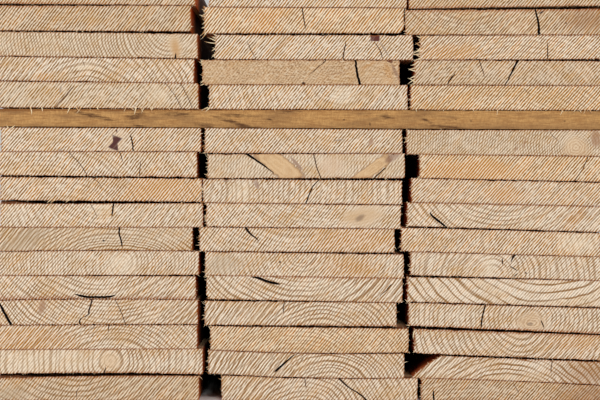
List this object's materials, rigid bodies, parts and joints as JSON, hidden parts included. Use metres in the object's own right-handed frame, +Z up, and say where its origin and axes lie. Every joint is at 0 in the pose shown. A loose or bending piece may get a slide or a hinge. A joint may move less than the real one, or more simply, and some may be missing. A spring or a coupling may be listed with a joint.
{
  "type": "stack of sawn boards",
  "caption": "Stack of rough sawn softwood boards laid in columns on one another, with a layer of spacer sticks between two courses.",
  "frame": {"origin": "on the floor, under the middle of the stack", "axes": "+X along the sawn ends from the left column to the right one, +Y along the boards away from the near ends, +Z up"},
  "size_m": [0.64, 2.4, 0.4212],
  "materials": {
    "sawn_boards": "rough sawn softwood, saw marks across the ends",
    "spacer_sticks": "sawn softwood, darkened and stained by use"
  },
  "bodies": {
    "root": {"board_left_01": "sawn_boards", "board_left_02": "sawn_boards", "board_left_03": "sawn_boards", "board_left_04": "sawn_boards", "board_left_05": "sawn_boards", "board_left_06": "sawn_boards", "board_left_07": "sawn_boards", "board_left_08": "sawn_boards", "board_left_09": "sawn_boards", "board_left_10": "sawn_boards", "board_left_11": "sawn_boards", "board_left_12": "sawn_boards", "board_left_13": "sawn_boards", "board_left_14": "sawn_boards", "board_left_15": "sawn_boards", "board_left_16": "sawn_boards", "board_middle_01": "sawn_boards", "board_middle_02": "sawn_boards", "board_middle_03": "sawn_boards", "board_middle_04": "sawn_boards", "board_middle_05": "sawn_boards", "board_middle_06": "sawn_boards", "board_middle_07": "sawn_boards", "board_middle_08": "sawn_boards", "board_middle_09": "sawn_boards", "board_middle_10": "sawn_boards", "board_middle_11": "sawn_boards", "board_middle_12": "sawn_boards", "board_middle_13": "sawn_boards", "board_middle_14": "sawn_boards", "board_middle_15": "sawn_boards", "board_middle_16": "sawn_boards", "board_right_01": "sawn_boards", "board_right_02": "sawn_boards", "board_right_03": "sawn_boards", "board_right_04": "sawn_boards", "board_right_05": "sawn_boards", "board_right_06": "sawn_boards", "board_right_07": "sawn_boards", "board_right_08": "sawn_boards", "board_right_09": "sawn_boards", "board_right_10": "sawn_boards", "board_right_11": "sawn_boards", "board_right_12": "sawn_boards", "board_right_13": "sawn_boards", "board_right_14": "sawn_boards", "board_right_15": "sawn_boards", "board_right_16": "sawn_boards", "spacer_stick_1": "spacer_sticks", "spacer_stick_2": "spacer_sticks", "spacer_stick_3": "spacer_sticks", "spacer_stick_4": "spacer_sticks", "spacer_stick_5": "spacer_sticks"}
  },
  "joints": []
}
